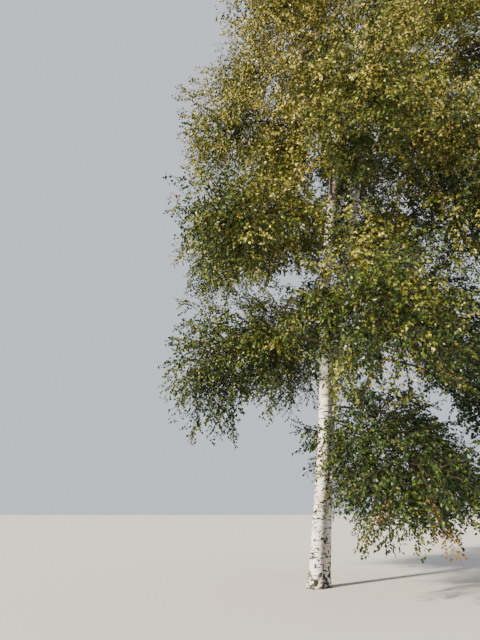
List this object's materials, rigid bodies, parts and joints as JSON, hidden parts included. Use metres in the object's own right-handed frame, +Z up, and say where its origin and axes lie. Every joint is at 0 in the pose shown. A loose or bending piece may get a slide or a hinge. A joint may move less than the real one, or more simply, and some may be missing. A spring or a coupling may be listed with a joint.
{
  "type": "birch tree",
  "caption": "Tall birch tree with white stems rising from one foot, arching boughs and loose hanging late-summer foliage.",
  "frame": {"origin": "middle of the flat cut under the trunk foot, at ground level", "axes": "+Z up along the stems, +X towards the side where the crown is widest and sweeps lowest, +Y away from the picture's viewpoint"},
  "size_m": [10.3784, 10.7829, 20.6771],
  "materials": {
    "bark_white": "matte white papery bark with dark lenticels, rough and dark near the ground",
    "bark_brown": "matte brown bark of boughs and twigs",
    "leaf_dark_green": "leaves, satin dark green",
    "leaf_green": "leaves, satin mid green",
    "leaf_olive": "leaves, satin olive green",
    "leaf_gold": "leaves, satin, turning gold"
  },
  "bodies": {
    "root": {"trunk_foot": "bark_white", "stem_left": "bark_white", "stem_right": "bark_white", "bough_01": "bark_brown", "bough_02": "bark_brown", "bough_03": "bark_brown", "bough_04": "bark_brown", "bough_05": "bark_brown", "bough_06": "bark_brown", "bough_07": "bark_brown", "bough_08": "bark_brown", "bough_09": "bark_brown", "bough_10": "bark_brown", "bough_11": "bark_brown", "bough_12": "bark_brown", "bough_13": "bark_brown", "bough_14": "bark_brown", "bough_15": "bark_brown", "bough_16": "bark_brown", "bough_17": "bark_brown", "bough_18": "bark_brown", "bough_19": "bark_brown", "bough_20": "bark_brown", "bough_21": "bark_brown", "bough_22": "bark_brown", "bough_23": "bark_brown", "bough_24": "bark_brown", "bough_25": "bark_brown", "bough_26": "bark_brown", "bough_27": "bark_brown", "foliage_01": "leaf_dark_green", "foliage_02": "leaf_green", "foliage_03": "leaf_olive", "foliage_04": "leaf_gold", "foliage_05": "leaf_dark_green", "foliage_06": "leaf_green", "foliage_07": "leaf_olive", "foliage_08": "leaf_gold", "foliage_09": "leaf_dark_green", "foliage_10": "leaf_green", "foliage_11": "leaf_olive", "foliage_12": "leaf_gold", "foliage_13": "leaf_dark_green", "foliage_14": "leaf_green", "foliage_15": "leaf_olive", "foliage_16": "leaf_gold", "foliage_17": "leaf_dark_green", "foliage_18": "leaf_green", "foliage_19": "leaf_olive", "foliage_20": "leaf_gold", "foliage_21": "leaf_dark_green", "foliage_22": "leaf_green", "foliage_23": "leaf_olive", "foliage_24": "leaf_gold", "foliage_25": "leaf_dark_green", "foliage_26": "leaf_green", "foliage_27": "leaf_olive", "foliage_top_left": "leaf_gold", "foliage_top_right": "leaf_dark_green"}
  },
  "joints": []
}
